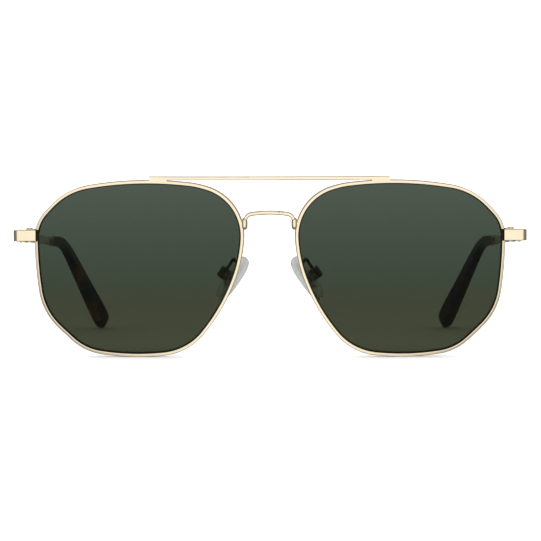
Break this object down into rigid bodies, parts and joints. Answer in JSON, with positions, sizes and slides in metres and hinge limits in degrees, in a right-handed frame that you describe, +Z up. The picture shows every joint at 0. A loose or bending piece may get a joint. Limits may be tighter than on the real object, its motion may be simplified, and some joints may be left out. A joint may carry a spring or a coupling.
{
  "type": "aviator sunglasses",
  "caption": "Double-bar aviator sunglasses in thin gold wire with dark green lenses, folding temples, dark tortoise tips and rocking clear nose pads.",
  "frame": {"origin": "on the surface the glasses stand on, midway between the two sides and midway between the brow bar's front and the ends of the tips", "axes": "+X to the wearer's left, +Y back along the temples towards the wearer, +Z up; the lenses face -Y"},
  "size_m": [0.1482, 0.1416, 0.051],
  "materials": {
    "gold": "polished champagne gold plating",
    "lens": "dark green tint, a little more olive at the bottom",
    "acetate": "polished, near-black with brown tortoise patches",
    "silicone": "clear soft pads",
    "steel": "small slotted screws with a pale gold flash"
  },
  "bodies": {
    "front": {"bridge": "gold", "brow_bar": "gold", "left_rim": "gold", "left_lens": "lens", "left_closing_block_upper": "gold", "left_closing_block_lower": "gold", "left_closing_screw": "steel", "left_end_piece": "gold", "left_hinge_front": "gold", "left_hinge_screw": "steel", "left_pad_arm": "gold", "left_pad_box": "gold", "left_pad_screw": "steel", "right_rim": "gold", "right_lens": "lens", "right_closing_block_upper": "gold", "right_closing_block_lower": "gold", "right_closing_screw": "steel", "right_end_piece": "gold", "right_hinge_front": "gold", "right_hinge_screw": "steel", "right_pad_arm": "gold", "right_pad_box": "gold", "right_pad_screw": "steel"},
    "left_temple": {"left_hinge_temple": "gold", "left_temple_bar": "gold", "left_temple_tip": "acetate"},
    "left_pad": {"left_pad_core": "steel", "left_nose_pad": "silicone"},
    "right_temple": {"right_hinge_temple": "gold", "right_temple_bar": "gold", "right_temple_tip": "acetate"},
    "right_pad": {"right_pad_core": "steel", "right_nose_pad": "silicone"}
  },
  "joints": [
    {"name": "left_temple_fold", "type": "hinge", "parent": "front", "child": "left_temple", "pos_m": [0.07035, -0.0582, 0.0342], "axis": [0, 0, 1], "range_deg": [0, 84]},
    {"name": "left_pad_rock", "type": "hinge", "parent": "front", "child": "left_pad", "pos_m": [0.01296, -0.06073, 0.02358], "axis": [-0.3056, -0.9035, -0.3004], "range_deg": [-10, 10]},
    {"name": "right_temple_fold", "type": "hinge", "parent": "front", "child": "right_temple", "pos_m": [-0.07035, -0.0582, 0.0342], "axis": [0, 0, -1], "range_deg": [0, 76]},
    {"name": "right_pad_rock", "type": "hinge", "parent": "front", "child": "right_pad", "pos_m": [-0.01296, -0.06073, 0.02358], "axis": [0.3056, -0.9035, -0.3004], "range_deg": [-10, 10]}
  ]
}
